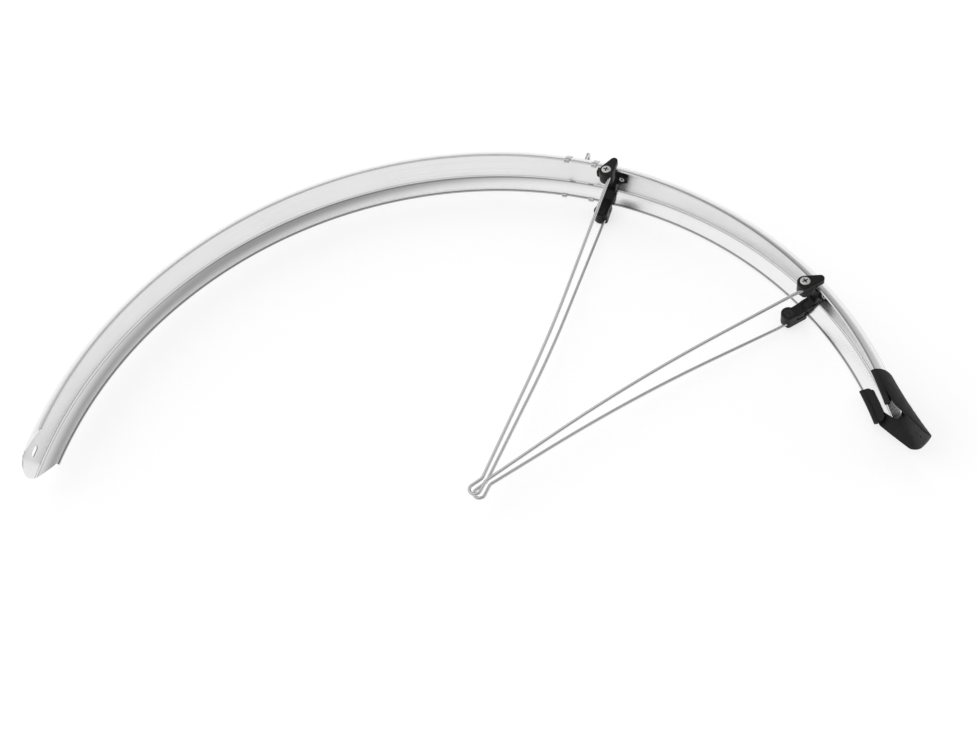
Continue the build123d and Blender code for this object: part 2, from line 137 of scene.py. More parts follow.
def circle_line(centre, radius, turns):
    """Points of a circle in the section: centre plus radius times the cosine and sine of each turn."""
    return centre + radius * np.stack([np.cos(turns), np.sin(turns)], axis=-1)


def crossing(offset):
    """Corner of the section where the panel's and the flange's circles cross, both offset outwards."""
    panel = panel_arc + offset
    flange = flange_arc + offset
    step = flange_centre - panel_centre
    gap = np.hypot(*step)
    along = (gap**2 + panel**2 - flange**2) / (2 * gap)
    across = np.sqrt(panel**2 - along**2)
    foot = panel_centre + along * step / gap
    return foot + across * np.array([step[1], -step[0]]) * np.sign(step[1]) / gap


def flange_line(offset, first, last, count):
    """Near flange in section, between two shares of the way from hem (0) to crease (1)."""
    shares = np.linspace(first, last, count)
    return circle_line(flange_centre, flange_arc + offset, hem_turn + shares * (crease_turn - hem_turn))


def hem_line(radius, first, last, count):
    """Arc about the near hem's centre, in degrees from the flange's own direction to its outside."""
    turns = np.radians(np.linspace(first, last, count))
    return hem_centre + radius * (np.outer(np.cos(turns), hem_along) + np.outer(np.sin(turns), hem_out))


def sheet_line(offset, first_share):
    """One face of the sheet in section, hem to hem: flange, crease rounded by a parabola, panel, mirror."""
    corner = crossing(offset)
    corner_turn = np.arctan2(corner[1] - flange_centre[1], corner[0] - flange_centre[0])
    last_share = (corner_turn + crease_round / flange_arc - hem_turn) / (crease_turn - hem_turn)
    flange_shares = first_share + (last_share - first_share) * flange_ease
    flange_turns = hem_turn + flange_shares * (crease_turn - hem_turn)
    flange = circle_line(flange_centre, flange_arc + offset, flange_turns)
    panel_turn = np.arctan2(corner[1], corner[0] - panel_centre[0]) - crease_round / panel_arc
    panel = circle_line(panel_centre, panel_arc + offset, np.linspace(panel_turn, -panel_turn, panel_count))
    step = np.linspace(0, 1, bend_count + 2)[1:-1, None]
    bend = (1 - step) ** 2 * flange[-1] + 2 * step * (1 - step) * corner + step**2 * panel[0]
    near_half = np.concatenate([flange, bend])
    return np.concatenate([near_half, panel, near_half[::-1] * other_side])


def blade_face(face):
    """Outside (1) or inside (-1) of the sheet from the tip of one hem's roll to the tip of the other's."""
    leave = np.degrees(np.arcsin(skin / hem_roll))
    roll = hem_line(hem_roll, face * roll_turn, face * leave, roll_count + 1)[:-1]
    first_share = hem_roll * np.cos(np.radians(leave)) / flange_length
    return np.concatenate([roll, sheet_line(face * skin, first_share), roll[::-1] * other_side])


def painted_fold_shade(face):
    """Painted shade at each point of one face: darkest in the crevice where a hem's roll meets the flange and
    running onto the roll, lighter beside a crease, and none a short distance away from them."""
    points = blade_face(face)
    runs = np.concatenate([[0], np.cumsum(np.linalg.norm(np.diff(points, axis=0), axis=1))])
    flange_end = roll_count + flange_count - 1
    panel_start = flange_end + bend_count + 1
    fade = np.where(np.arange(len(runs)) < roll_count, roll_shade_fade, 1.0)
    to_hem = np.abs(runs - runs[roll_count]) * fade
    to_crease = np.minimum(np.abs(runs - runs[flange_end]), np.abs(runs - runs[panel_start]))
    to_crease[flange_end + 1 : panel_start] = crease_shade_width
    hem_shade = np.clip(1 - to_hem / hem_shade_width, 0, 1) ** 2
    crease_shade = crease_shade_share * np.clip(1 - to_crease / crease_shade_width, 0, 1) ** 2
    dark = np.maximum(hem_shade, crease_shade)
    return np.maximum(dark, dark[::-1])


def end_angle_at(section, end_angle, end):
    """Angle at which each line of the section ends: an ellipse on the flat strip that leans with height."""
    radius, height = section.T
    hem_inner = hem_centre[1] - hem_radius - hem_play
    flat_half = crease_z + flange_length + hem_radius
    fold_share = (half_width - crease_z) / (flat_half - crease_z)
    reach = np.minimum(np.abs(height), hem_inner)
    across = reach + np.maximum(reach - crease_z, 0) * (1 / fold_share - 1)
    along = end * end_length * (np.sqrt(1 - (across / (end_breadth * flat_half)) ** 2) - 1)
    along = along - np.sign(height) * reach * end_skew
    along = along - end * hem_radius * (np.abs(height) > hem_inner)
    return np.radians(end_angle) + np.arcsin(along / radius)


def shell(points, ring=False):
    """Closed skin over section loops, points[row, column]: quads between rows, and each end shut by quads
    between opposite points of its loop, or the last row joined to the first in a ring."""
    rows, columns = points.shape[:2]
    index = np.arange(rows * columns).reshape(rows, columns)
    if ring:
        index = np.concatenate([index, index[:1]])
    beside = np.roll(index, -1, axis=1)
    faces = [np.stack([index[:-1], index[1:], beside[1:], beside[:-1]], axis=-1).reshape(-1, 4)]
    if not ring:
        half = columns // 2
        there = index[:, :half]
        back = index[:, ::-1][:, :half]
        lids = np.stack([there[:, :-1], there[:, 1:], back[:, 1:], back[:, :-1]], axis=-1)
        faces += [lids[0], lids[-1][:, ::-1]]
    faces = np.concatenate(faces)
    corners = points.reshape(-1, 3)[faces]
    middle = points.reshape(-1, 3).mean(axis=0)
    a, b, c, d = [corners[:, k] - middle for k in range(4)]
    volume = np.einsum("ij,ij->", a, np.cross(b, c)) + np.einsum("ij,ij->", a, np.cross(c, d))
    return points.reshape(-1, 3), faces if volume > 0 else faces[:, ::-1]


def grid_lengths(points):
    """Distance run along the rows and round the columns at each point, in metres."""
    steps = np.linalg.norm(np.diff(points, axis=0), axis=-1).mean(axis=1)
    along = np.concatenate([[0], np.cumsum(steps)])[:, None]
    turns = np.linalg.norm(np.diff(points, axis=1), axis=-1).mean(axis=0)
    across = np.concatenate([[0], np.cumsum(turns)])[None, :]
    along, across = np.broadcast_arrays(along, across)
    return np.stack([along, across], axis=-1).reshape(-1, 2)


def make_piece(name, shells, runs=None):
    """Object of one or more shells, smooth except at corners sharper than sharp_angle."""
    counts = np.cumsum([0] + [len(points) for points, _ in shells])
    points = np.concatenate([points for points, _ in shells])
    faces = np.concatenate([faces + first for (_, faces), first in zip(shells, counts)])
    mesh = bpy.data.meshes.new(name)
    mesh.from_pydata(points.tolist(), [], faces.tolist())
    if runs is not None:
        layer = mesh.uv_layers.new(name="run")
        corner_runs = np.concatenate(runs)[faces.reshape(-1)]
        layer.uv.foreach_set("vector", corner_runs.astype(np.float32).ravel())
    mesh.shade_smooth()
    mesh.set_sharp_from_angle(angle=sharp_angle)
    piece = bpy.data.objects.new(name, mesh)
    scene.collection.objects.link(piece)
    return piece


def punch(outline, angle, radius, height, depth):
    """Closed prism for cutting: an outline of along and height, carried a depth both ways from a place."""
    centre = wheel_point(radius, angle, height)
    out = np.array([np.cos(angle), np.sin(angle), 0.0]) * MM
    along = np.array([-np.sin(angle), np.cos(angle), 0.0]) * MM
    up = np.array([0.0, 0.0, MM])
    flat = centre + outline[:, :1] * along + outline[:, 1:] * up
    return shell(np.stack([flat - depth * out, flat + depth * out]))


def cut_away(piece, cuts, edge_finish=None):
    """Mesh of a piece with closed prisms taken away. The cut faces can have a finish of their own."""
    cutter = make_piece("cutter", cuts)
    holes = piece.modifiers.new("holes", "BOOLEAN")
    holes.operation = "DIFFERENCE"
    holes.solver = "EXACT"
    holes.object = cutter
    if edge_finish is not None:
        cutter.data.materials.append(edge_finish)
        holes.material_mode = "TRANSFER"
    whole = piece.evaluated_get(bpy.context.evaluated_depsgraph_get())
    mesh = bpy.data.meshes.new_from_object(whole)
    piece.modifiers.clear()
    bpy.data.objects.remove(cutter)
    return mesh


section = np.concatenate([blade_face(1), blade_face(-1)[::-1]])
rear_ends = end_angle_at(section, rear_end_angle, -1)
front_ends = end_angle_at(section, front_end_angle, 1)
shares = np.linspace(0, 1, blade_steps + 1)[:, None]
blade_points = wheel_point(section[:, 0], rear_ends + shares * (front_ends - rear_ends), section[:, 1])
blade = make_piece("blade", [shell(blade_points)], [grid_lengths(blade_points)])
# Painted shade: a point attribute that darkens the sheet along each hem's crevice and beside each crease
section_painted_shade = np.concatenate([painted_fold_shade(1), painted_fold_shade(-1)[::-1]])
painted_shade_layer = blade.data.attributes.new("painted_shade", "FLOAT", "POINT")
painted_shade_layer.data.foreach_set("value", np.tile(section_painted_shade, blade_steps + 1).astype(np.float32))

noise_low = 0.3
noise_high = 0.7
painted_shade_colour = (0.12, 0.12, 0.12)
dull_aluminium = (0.84, 0.84, 0.84)
bright_aluminium = (0.90, 0.90, 0.90)
cut_shade_dark = (0.10, 0.10, 0.10)
cut_shade_light = (0.20, 0.20, 0.20)


def new_group(name, inputs):
    """Shader node group that spreads a noise between two values: places in, one value out."""
    group = bpy.data.node_groups.new(name, "ShaderNodeTree")
    group.interface.new_socket("Place", in_out="INPUT", socket_type="NodeSocketVector")
    for label in inputs:
        group.interface.new_socket(label, in_out="INPUT", socket_type="NodeSocketFloat")
    group.interface.new_socket("Value", in_out="OUTPUT", socket_type="NodeSocketFloat")
    entry = group.nodes.new("NodeGroupInput")
    leave = group.nodes.new("NodeGroupOutput")
    noise = group.nodes.new("ShaderNodeTexNoise")
    spread = group.nodes.new("ShaderNodeMapRange")
    spread.inputs["From Min"].default_value = noise_low
    spread.inputs["From Max"].default_value = noise_high
    group.links.new(entry.outputs["Low"], spread.inputs["To Min"])
    group.links.new(entry.outputs["High"], spread.inputs["To Max"])
    group.links.new(noise.outputs["Fac"], spread.inputs["Value"])
    group.links.new(spread.outputs["Result"], leave.inputs["Value"])
    return group, entry, noise


# Cloudy patches, the same size in every direction
mottle, mottle_in, mottle_noise = new_group("mottle", ["Scale", "Low", "High"])
mottle_noise.inputs["Detail"].default_value = 3.0
mottle.links.new(mottle_in.outputs["Place"], mottle_noise.inputs["Vector"])
mottle.links.new(mottle_in.outputs["Scale"], mottle_noise.inputs["Scale"])

# Fine lines left by rolls and dies: a noise drawn out along the first axis of its place
lines, lines_in, lines_noise = new_group("drawn_lines", ["Along", "Across", "Low", "High"])
lines_stretch = lines.nodes.new("ShaderNodeCombineXYZ")
lines_place = lines.nodes.new("ShaderNodeVectorMath")
lines_place.operation = "MULTIPLY"
lines.links.new(lines_in.outputs["Along"], lines_stretch.inputs["X"])
lines.links.new(lines_in.outputs["Across"], lines_stretch.inputs["Y"])
lines.links.new(lines_in.outputs["Across"], lines_stretch.inputs["Z"])
lines.links.new(lines_in.outputs["Place"], lines_place.inputs[0])
lines.links.new(lines_stretch.outputs["Vector"], lines_place.inputs[1])
lines.links.new(lines_place.outputs["Vector"], lines_noise.inputs["Vector"])
lines_noise.inputs["Scale"].default_value = 1.0
lines_noise.inputs["Detail"].default_value = 2.0


def new_finish(name, metallic, place="Object"):
    """Material with its Principled shader and the surface coordinates that its patterns follow."""
    material = bpy.data.materials.new(name)
    material.use_nodes = True
    tree = material.node_tree
    shader = tree.nodes["Principled BSDF"]
    shader.inputs["Metallic"].default_value = metallic
    source = tree.nodes.new("ShaderNodeTexCoord")
    return material, tree, shader, source.outputs[place]


def pattern(tree, group, place, **values):
    """One use of a pattern group with its own values."""
    node = tree.nodes.new("ShaderNodeGroup")
    node.node_tree = group
    tree.links.new(place, node.inputs["Place"])
    for label, value in values.items():
        node.inputs[label].default_value = value
    return node.outputs["Value"]


def tint(tree, shader, factor, dark, light):
    """Base colour between a dark and a light grey or colour."""
    mix = tree.nodes.new("ShaderNodeMix")
    mix.data_type = "RGBA"
    mix.inputs["A"].default_value = (*dark, 1)
    mix.inputs["B"].default_value = (*light, 1)
    tree.links.new(factor, mix.inputs["Factor"])
    tree.links.new(mix.outputs["Result"], shader.inputs["Base Color"])
    return mix.outputs["Result"]


def roughen(tree, shader, place, scale, low, high):
    """Roughness between two values, in cloudy patches."""
    patches = pattern(tree, mottle, place, Scale=scale, Low=low, High=high)
    tree.links.new(patches, shader.inputs["Roughness"])


def relief(tree, shader, height, strength, distance):
    """Bump of a pattern, in metres."""
    bump = tree.nodes.new("ShaderNodeBump")
    bump.inputs["Strength"].default_value = strength
    bump.inputs["Distance"].default_value = distance
    tree.links.new(height, bump.inputs["Height"])
    tree.links.new(bump.outputs["Normal"], shader.inputs["Normal"])


aluminium, tree, shader, place = new_finish("polished_aluminium", 1.0, "UV")
roll_marks = pattern(tree, lines, place, Along=5.0, Across=1400.0, Low=0.0, High=1.0)
polish = tint(tree, shader, roll_marks, dull_aluminium, bright_aluminium)
# Painted shade: the base colour is mixed towards near black by the point attribute made for the hems and
# creases
painted_shade = tree.nodes.new("ShaderNodeAttribute")
painted_shade.attribute_name = "painted_shade"
painted_shade_mix = tree.nodes.new("ShaderNodeMix")
painted_shade_mix.data_type = "RGBA"
painted_shade_mix.inputs["B"].default_value = (*painted_shade_colour, 1)
tree.links.new(painted_shade.outputs["Fac"], painted_shade_mix.inputs["Factor"])
tree.links.new(polish, painted_shade_mix.inputs["A"])
tree.links.new(painted_shade_mix.outputs["Result"], shader.inputs["Base Color"])
roughen(tree, shader, place, scale=26.0, low=0.22, high=0.28)
relief(tree, shader, roll_marks, strength=0.03, distance=0.00002)
blade.data.materials.append(aluminium)

# Painted shade: the faces cut through the sheet at the slot, slits and rivet holes are near black metal, with
# a random tone
painted_cut_edge_shade, tree, shader, place = new_finish("painted_cut_edge_shade", 1.0)
shear_marks = pattern(tree, mottle, place, Scale=900.0, Low=0.0, High=1.0)
tint(tree, shader, shear_marks, cut_shade_dark, cut_shade_light)
roughen(tree, shader, place, scale=1500.0, low=0.4, high=0.55)

half_turn = np.radians(np.linspace(-90, 90, slot_count))
slot_side = circle_line(np.zeros(2), slot_width / 2, half_turn) + [(slot_length - slot_width) / 2, 0]
slot_outline = np.concatenate([slot_side, slot_side[::-1] * [-1.0, 1.0]])
slit_corners = np.array([[-1.0, -1.0], [1.0, -1.0], [1.0, 1.0], [-1.0, 1.0]])
slit_outline = slit_corners * [slit_length / 2, slit_width / 2]
hole_turns = (np.arange(hole_sides) + 0.5) * 2 * np.pi / hole_sides
rivet_outline = circle_line(np.zeros(2), rivet_hole, hole_turns)
cuts = [punch(slot_outline, np.radians(slot_angle), crease_radius, 0.0, punch_depth)]
for slit_height in (crease_z - skin, skin - crease_z):
    for slit_end in (-0.5, 0.5):
        slit_middle = np.array([slit_end * slit_spacing - slit_height * end_skew, 0.0])
        slit = slit_outline + slit_middle
        cuts.append(punch(slit, np.radians(slit_angle), crease_radius, slit_height, slit_depth))
rivet_names = [name for name in nodes if name.endswith("_eyelet")]
rivet_places = {}
for name in rivet_names:
    low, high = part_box(name)
    middle = (np.array(low) + np.array(high)) / 2 / MM - axle
    rivet_angle = np.arctan2(middle[1], middle[0])
    rivet_places[name] = (rivet_angle, middle[2])
    cuts.append(punch(rivet_outline, rivet_angle, crease_radius, middle[2], punch_depth))
blade.data = cut_away(blade, cuts, painted_cut_edge_shade)
blade.data.shade_smooth()
blade.data.set_sharp_from_angle(angle=sharp_angle)
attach(blade, "root")
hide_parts("mudguard_blade")

# Brake bridge clip
# A saddle folded from bright steel strip, laid over the back of the blade. Its four legs hook round
# the hems, and its upright lug takes the brake bolt.
dull_steel = (0.50, 0.50, 0.50)
bright_steel = (0.62, 0.62, 0.62)
clip_steel, tree, shader, place = new_finish("folded_steel", 1.0)
strip_marks = pattern(tree, lines, place, Along=40.0, Across=900.0, Low=0.0, High=1.0)
tint(tree, shader, strip_marks, dull_steel, bright_steel)
roughen(tree, shader, place, scale=160.0, low=0.20, high=0.30)
nodes["brake_bridge_clip"].data.materials.clear()
nodes["brake_bridge_clip"].data.materials.append(clip_steel)

# Stay bridges and clamp caps
# Straps moulded in black plastic that lie across the inside of the blade, with two ears for rivets
# and a pad beyond each hem. A loose cap on each pad presses the stay's wire into its groove.
dark_plastic = (0.006, 0.006, 0.006)
light_plastic = (0.012, 0.012, 0.012)
plastic, tree, shader, place = new_finish("moulded_plastic", 0.0)
flow = pattern(tree, mottle, place, Scale=70.0, Low=0.0, High=1.0)
shader.inputs["Specular IOR Level"].default_value = 0.22
tint(tree, shader, flow, dark_plastic, light_plastic)
roughen(tree, shader, place, scale=240.0, low=0.32, high=0.46)
grain = pattern(tree, mottle, place, Scale=1500.0, Low=0.0, High=1.0)
relief(tree, shader, grain, strength=0.15, distance=0.0001)
for name, node in nodes.items():
    if name.endswith("_stay_bridge") or name.endswith("_cap"):
        node.data.materials.clear()
        node.data.materials.append(plastic)

# Clamp screws and nuts
# Pan-head machine screws, zinc plated and bright, pass through the caps into square nuts of
# # blackened steel that are trapped in the backs of the pads. The screws carry painted shade: near black up
# to just below the top of each head, so the head's underside and the shank are dark.
screw_top = 32.4
shade_depth = 1.0
unshaded_depth = 0.15
dull_zinc = (0.74, 0.74, 0.73)
clean_zinc = (0.86, 0.86, 0.85)
black_oxide = (0.03, 0.03, 0.03)
worn_oxide = (0.06, 0.06, 0.06)
painted_recess_shade = (0.03, 0.03, 0.03)
head_colour = (0.62, 0.62, 0.61)
zinc, tree, shader, place = new_finish("bright_zinc", 1.0)
plating = pattern(tree, mottle, place, Scale=300.0, Low=0.0, High=1.0)
tint(tree, shader, plating, dull_zinc, clean_zinc)
roughen(tree, shader, place, scale=700.0, low=0.30, high=0.42)
black_steel, tree, shader, place = new_finish("blackened_steel", 1.0)
oxide = pattern(tree, mottle, place, Scale=300.0, Low=0.0, High=1.0)
tint(tree, shader, oxide, black_oxide, worn_oxide)
roughen(tree, shader, place, scale=700.0, low=0.35, high=0.5)
# Painted shade: base colour from near black to light grey by distance from the middle plane, light only on
# the top of each head
screw_zinc, tree, shader, place = new_finish("screw_zinc", 1.0)
about = tree.nodes.new("ShaderNodeSeparateXYZ")
above = tree.nodes.new("ShaderNodeMath")
above.operation = "SUBTRACT"
above.inputs[1].default_value = axle[2] * MM
either_side = tree.nodes.new("ShaderNodeMath")
either_side.operation = "ABSOLUTE"
unshaded_share = tree.nodes.new("ShaderNodeMapRange")
unshaded_share.inputs["From Min"].default_value = (screw_top - shade_depth) * MM
unshaded_share.inputs["From Max"].default_value = (screw_top - unshaded_depth) * MM
tree.links.new(place, about.inputs["Vector"])
tree.links.new(about.outputs["Z"], above.inputs[0])
tree.links.new(above.outputs["Value"], either_side.inputs[0])
tree.links.new(either_side.outputs["Value"], unshaded_share.inputs["Value"])
tint(tree, shader, unshaded_share.outputs["Result"], painted_recess_shade, head_colour)
roughen(tree, shader, place, scale=700.0, low=0.14, high=0.26)
for name, node in nodes.items():
    if name.endswith("_screw") or name.endswith("_nut"):
        node.data.materials.clear()
        node.data.materials.append(screw_zinc if name.endswith("_screw") else black_steel)

# Eyelet rivets
# Tubes of bright zinc-plated steel through each ear and the blade, with both rims rolled over. Each is
# # one profile turned about a line from the axle, and its bore wall is painted with blackened steel as shade
# inside the hole.
rivet_bore = 1.25
rivet_tube = 1.5
rivet_rim = 2.4
rim_height = 0.5
rim_low = 362.41
rim_high = 366.95
roll_points = 7
rim_points = 9
rivet_sides = 36


def rivet_profile():
    """Closed outline of radius and height: a straight tube whose ends roll out through a quarter circle
    to a half-round rim."""
    quarter = np.radians(np.linspace(180, 270, roll_points))
    edge = np.radians(np.linspace(-90, 90, rim_points))
    roll = circle_line(np.array([rivet_bore + rim_height, rim_low + rim_height]), rim_height, quarter)
    rim_round = rim_height / 2
    rim = circle_line(np.array([rivet_rim - rim_round, rim_low + rim_round]), rim_round, edge)
    lower = np.concatenate([roll, rim, [[rivet_tube, rim_low + rim_height]]])
    upper = lower[::-1] * other_side + [0, rim_low + rim_high]
    return np.concatenate([lower, upper])


profile = rivet_profile()
rivet_steps = np.arange(rivet_sides) * 2 * np.pi / rivet_sides
for name, (angle, height) in rivet_places.items():
    out = np.array([np.cos(angle), np.sin(angle), 0.0])
    along = np.array([-np.sin(angle), np.cos(angle), 0.0])
    up = np.array([0.0, 0.0, 1.0])
    spoke = np.outer(np.cos(rivet_steps), along) + np.outer(np.sin(rivet_steps), up)
    turned = profile[None, :, :1] * spoke[:, None, :] + profile[None, :, 1:] * out
    points = (turned + axle + [0.0, 0.0, height]) * MM
    rivet = make_piece(f"{name}_rivet", [shell(points, ring=True)])
    rivet.data.materials.append(zinc)
    rivet.data.materials.append(black_steel)
    # Painted shade: the bore wall takes the blackened steel finish
    painted_shade_bore = np.arange(rivet_sides * len(profile)) % len(profile) == len(profile) - 1
    rivet.data.polygons.foreach_set("material_index", painted_shade_bore.astype(np.int32))
    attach(rivet, "root")
    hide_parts(name)

# Wire stays
# Each side has one V of bright drawn steel wire. It runs from the upper clamp to the wheel's axle,
# round a small eye there and back to the lower clamp, with one slow bow in each leg.
wire_radius = 1.4
wire_offset = 4.2
wire_height = 26.8
wire_tip = 12.6
clamp_tail = 15.0
bow_distance = 150.0
neck_distance = 7.0
apex_places = {"near": np.array([24.3, 6.8]), "far": np.array([26.6, 9.0])}
apex_spread = np.radians(32.6) / 2
apex_height = 5.0
eye_drop = 4.5
eye_radius = 4.6
eye_spread = 6.0
bend_radii = np.array([60.0, 1400.0, 7.0, eye_radius])
wire_sides = 24
bend_steps = 12
dull_wire = (0.56, 0.56, 0.56)
bright_wire = (0.68, 0.68, 0.68)


def heading(angle):
    """Unit vector in the wheel's plane."""
    return np.array([np.cos(angle), np.sin(angle)])


def wire_route(side_name, side):
    """Corners of one stay's route, upper clamp to lower clamp, in millimetres about the axle."""
    apex = apex_places[side_name]
    screws = []
    for level in ("upper", "lower"):
        low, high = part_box(f"{level}_{side_name}_clamp_screw")
        screws.append((np.array(low)[:2] + np.array(high)[:2]) / 2 / MM - axle[:2])
    middle = sum(np.arctan2(*(screw - apex)[::-1]) for screw in screws) / 2
    legs = []
    for screw, spread in zip(screws, (apex_spread, -apex_spread)):
        bow = apex + bow_distance * heading(middle + spread)
        reach = screw - bow
        wire_angle = np.arctan2(reach[1], reach[0]) - np.arcsin(wire_offset / np.hypot(*reach))
        foot = screw + wire_offset * heading(wire_angle - np.pi / 2)
        tip = foot + wire_tip * heading(wire_angle)
        kink = foot - clamp_tail * heading(wire_angle)
        neck = apex + neck_distance * heading(middle + spread)
        inner_run = bow_distance - neck_distance
        climb = (wire_height - apex_height) * inner_run / (inner_run + np.hypot(*(kink - bow)))
        heights = (wire_height, wire_height, apex_height + climb, apex_height)
        legs.append([[*point, side * h] for point, h in zip((tip, kink, bow, neck), heights)])
    foot = apex - (eye_drop + eye_radius) * heading(middle)
    corner = eye_spread * heading(middle + np.pi / 2)
    eye = [[*(foot + corner), side * apex_height], [*(foot - corner), side * apex_height]]
    return np.array(legs[0] + eye + legs[1][::-1])


def bent_line(corners, radii):
    """Route with each corner rounded: points turn evenly about the centre of the arc that meets both runs."""
    before = corners[:-2] - corners[1:-1]
    after = corners[2:] - corners[1:-1]
    before /= np.linalg.norm(before, axis=1)[:, None]
    after /= np.linalg.norm(after, axis=1)[:, None]
    opening = np.arccos(np.sum(before * after, axis=1))
    tangent = (radii / np.tan(opening / 2))[:, None]
    inward = before + after
    inward /= np.linalg.norm(inward, axis=1)[:, None]
    centre = corners[1:-1] + inward * (radii / np.sin(opening / 2))[:, None]
    first = corners[1:-1] + before * tangent - centre
    last = corners[1:-1] + after * tangent - centre
    turn = (np.pi - opening)[:, None, None]
    step = np.linspace(0, 1, bend_steps + 1)[None, :, None]
    swung = np.sin((1 - step) * turn) * first[:, None] + np.sin(step * turn) * last[:, None]
    arcs = centre[:, None] + swung / np.sin(turn)
    return np.concatenate([corners[:1], arcs.reshape(-1, 3), corners[-1:]])


def wire_loops(route):
    """Round wire: a circle square to the route at each of its points, one axis of it kept level."""
    ahead = np.gradient(route, axis=0)
    ahead /= np.linalg.norm(ahead, axis=1)[:, None]
    level = np.cross(ahead, [0.0, 0.0, 1.0])
    level /= np.linalg.norm(level, axis=1)[:, None]
    rise = np.cross(level, ahead)
    turns = (np.arange(wire_sides) + 0.5) * 2 * np.pi / wire_sides
    ring = np.cos(turns)[None, :, None] * level[:, None] + np.sin(turns)[None, :, None] * rise[:, None]
    return (route[:, None] + wire_radius * ring + axle) * MM


wire_steel, tree, shader, place = new_finish("drawn_wire", 1.0, "UV")
die_marks = pattern(tree, lines, place, Along=12.0, Across=3000.0, Low=0.0, High=1.0)
tint(tree, shader, die_marks, dull_wire, bright_wire)
roughen(tree, shader, place, scale=60.0, low=0.20, high=0.30)
for side_name, side in (("near", 1), ("far", -1)):
    route = bent_line(wire_route(side_name, side), np.concatenate([bend_radii, bend_radii[::-1]]))
    points = wire_loops(route)
    stay = make_piece(f"{side_name}_wire", [shell(points)], [grid_lengths(points)])
    stay.data.materials.append(wire_steel)
    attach(stay, "root")
    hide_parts(f"{side_name}_stay")

# Mud flap
# Moulded in black rubber: a channel that slips over the blade's rear end with a lip hooked round each
# hem, and a tongue that flares away from the wheel, narrows and ends in rounded corners. One small hole
# goes through the tongue near its tail.
flap_angle = np.radians(11.4)
flap_skew = np.tan(np.radians(16.0))
flap_inner = 0.55
flap_outer = 2.35
flap_front = 16.8
flap_tail = 52.0
flap_end_half = 18.0
flap_shoulder_half = 25.5
flap_corner = 4.6
flap_round = 9.5
flap_hole = 1.0
flap_hole_place = -45.5
flare_radius = 455.0
flare_angle = np.radians(14.0)
lip_reaches = {1: 4.4, -1: 7.6}
lip_wall = 1.4
lip_corner = 3.0
lip_start = 80.0
lip_roll_count = 23
lip_flat_count = 16
lip_tip_count = 6
lip_rows = 25
corner_rows = 21
sheet_rows = 49
sheet_columns = 41
edge_count = 6
tongue_depth = 30.0
dark_rubber = (0.009, 0.009, 0.009)
light_rubber = (0.016, 0.016, 0.016)


def flap_place(radius, along, height):
    """Place on the flap: along is measured square to the radius at flap_angle, set back in step with
    height. It follows the blade up to flare_angle, then turns about a centre outside the wheel."""
    along = along - height * flap_skew
    on_blade = flap_angle + np.arcsin(along / radius)
    flare_centre = crease_radius + flare_radius
    lead = flare_angle - flap_angle
    arm = flare_centre - radius
    swing = np.arcsin(np.clip((flare_centre * np.sin(lead) - along) / arm, -1, 1)) - lead
    x = flare_centre * np.cos(flare_angle) - arm * np.cos(flare_angle + swing)
    y = flare_centre * np.sin(flare_angle) - arm * np.sin(flare_angle + swing)
    flared = (np.stack([x, y, height], axis=-1) + axle) * MM
    return np.where((on_blade > flare_angle)[..., None], wheel_point(radius, on_blade, height), flared)


def flap_half_width(along):
    """Half the tongue's width: even along the channel, narrowing to the tail, whose corners are rounded."""
    share = np.clip((-along - flap_front) / (flap_tail - flap_front), 0, 1)
    width = flap_shoulder_half + share * (flap_end_half - flap_shoulder_half)
    left = np.clip(flap_corner - (along + flap_tail), 0, flap_corner)
    return width - flap_corner + np.sqrt(flap_corner**2 - left**2)


def flap_section(across, offset):
    """Radius and height of the offset section at a signed distance across the sheet from its middle."""
    corner = crossing(0.0)
    panel_half = panel_arc * np.arctan2(corner[1], corner[0] - panel_centre[0])
    reach = np.abs(across)
    panel_turn = np.minimum(reach, panel_half) / panel_arc
    panel = circle_line(panel_centre, (panel_arc + offset)[..., None], panel_turn)
    past = np.maximum(reach - panel_half, 0) / flange_length
    turn = crease_turn + past * (hem_turn - crease_turn)
    flange = circle_line(flange_centre, (flange_arc + offset)[..., None], turn)
    points = np.where((reach > panel_half)[..., None], flange, panel)
    return points[..., 0], points[..., 1] * np.sign(across)


def flap_sheet():
    """Tongue and channel back: across from edge to edge on the outside and back on the inside, with
    half-round edges, at each place along. At the front each wall's edge is a quarter ellipse."""
    ease = np.linspace(0, 1, corner_rows)
    corner_run = -flap_tail + flap_corner * (1 - np.cos(ease * np.pi / 2))
    straight_run = np.linspace(flap_corner - flap_tail, flap_front, sheet_rows + 1)[1:]
    run = np.concatenate([corner_run, straight_run])
    half = flap_half_width(run)
    flat = half + np.maximum(half - crease_z, 0) * (flange_length / (half_width - crease_z) - 1)
    flat = np.minimum(flat, crease_z + flange_length)
    share = np.linspace(-1, 1, sheet_columns)
    edge = np.radians(np.linspace(90, -90, edge_count + 2))[1:-1]
    thick = (flap_outer - flap_inner) / 2
    outside = flat[:, None] * share
    right = flat[:, None] + thick * np.cos(edge)
    across = np.concatenate([outside, right, outside[:, ::-1], -right], axis=1)
    face = np.ones(sheet_columns)
    offset = np.concatenate([face, np.sin(edge), -face, -np.sin(edge)])
    offset = np.broadcast_to((flap_inner + flap_outer) / 2 + thick * offset, across.shape)
    radius, height = flap_section(across, offset)
    from_hem = 1 - np.clip((np.abs(across) - crease_z) / (flat[-1] - crease_z), 0, 1)
    kept = 1 - flap_round / flap_front * (1 - np.sqrt(1 - from_hem**2))
    run = np.maximum(run, 0)[:, None] * kept + np.minimum(run, 0)[:, None]
    return np.roll(flap_place(radius, run, height), edge_count // 2, axis=1)


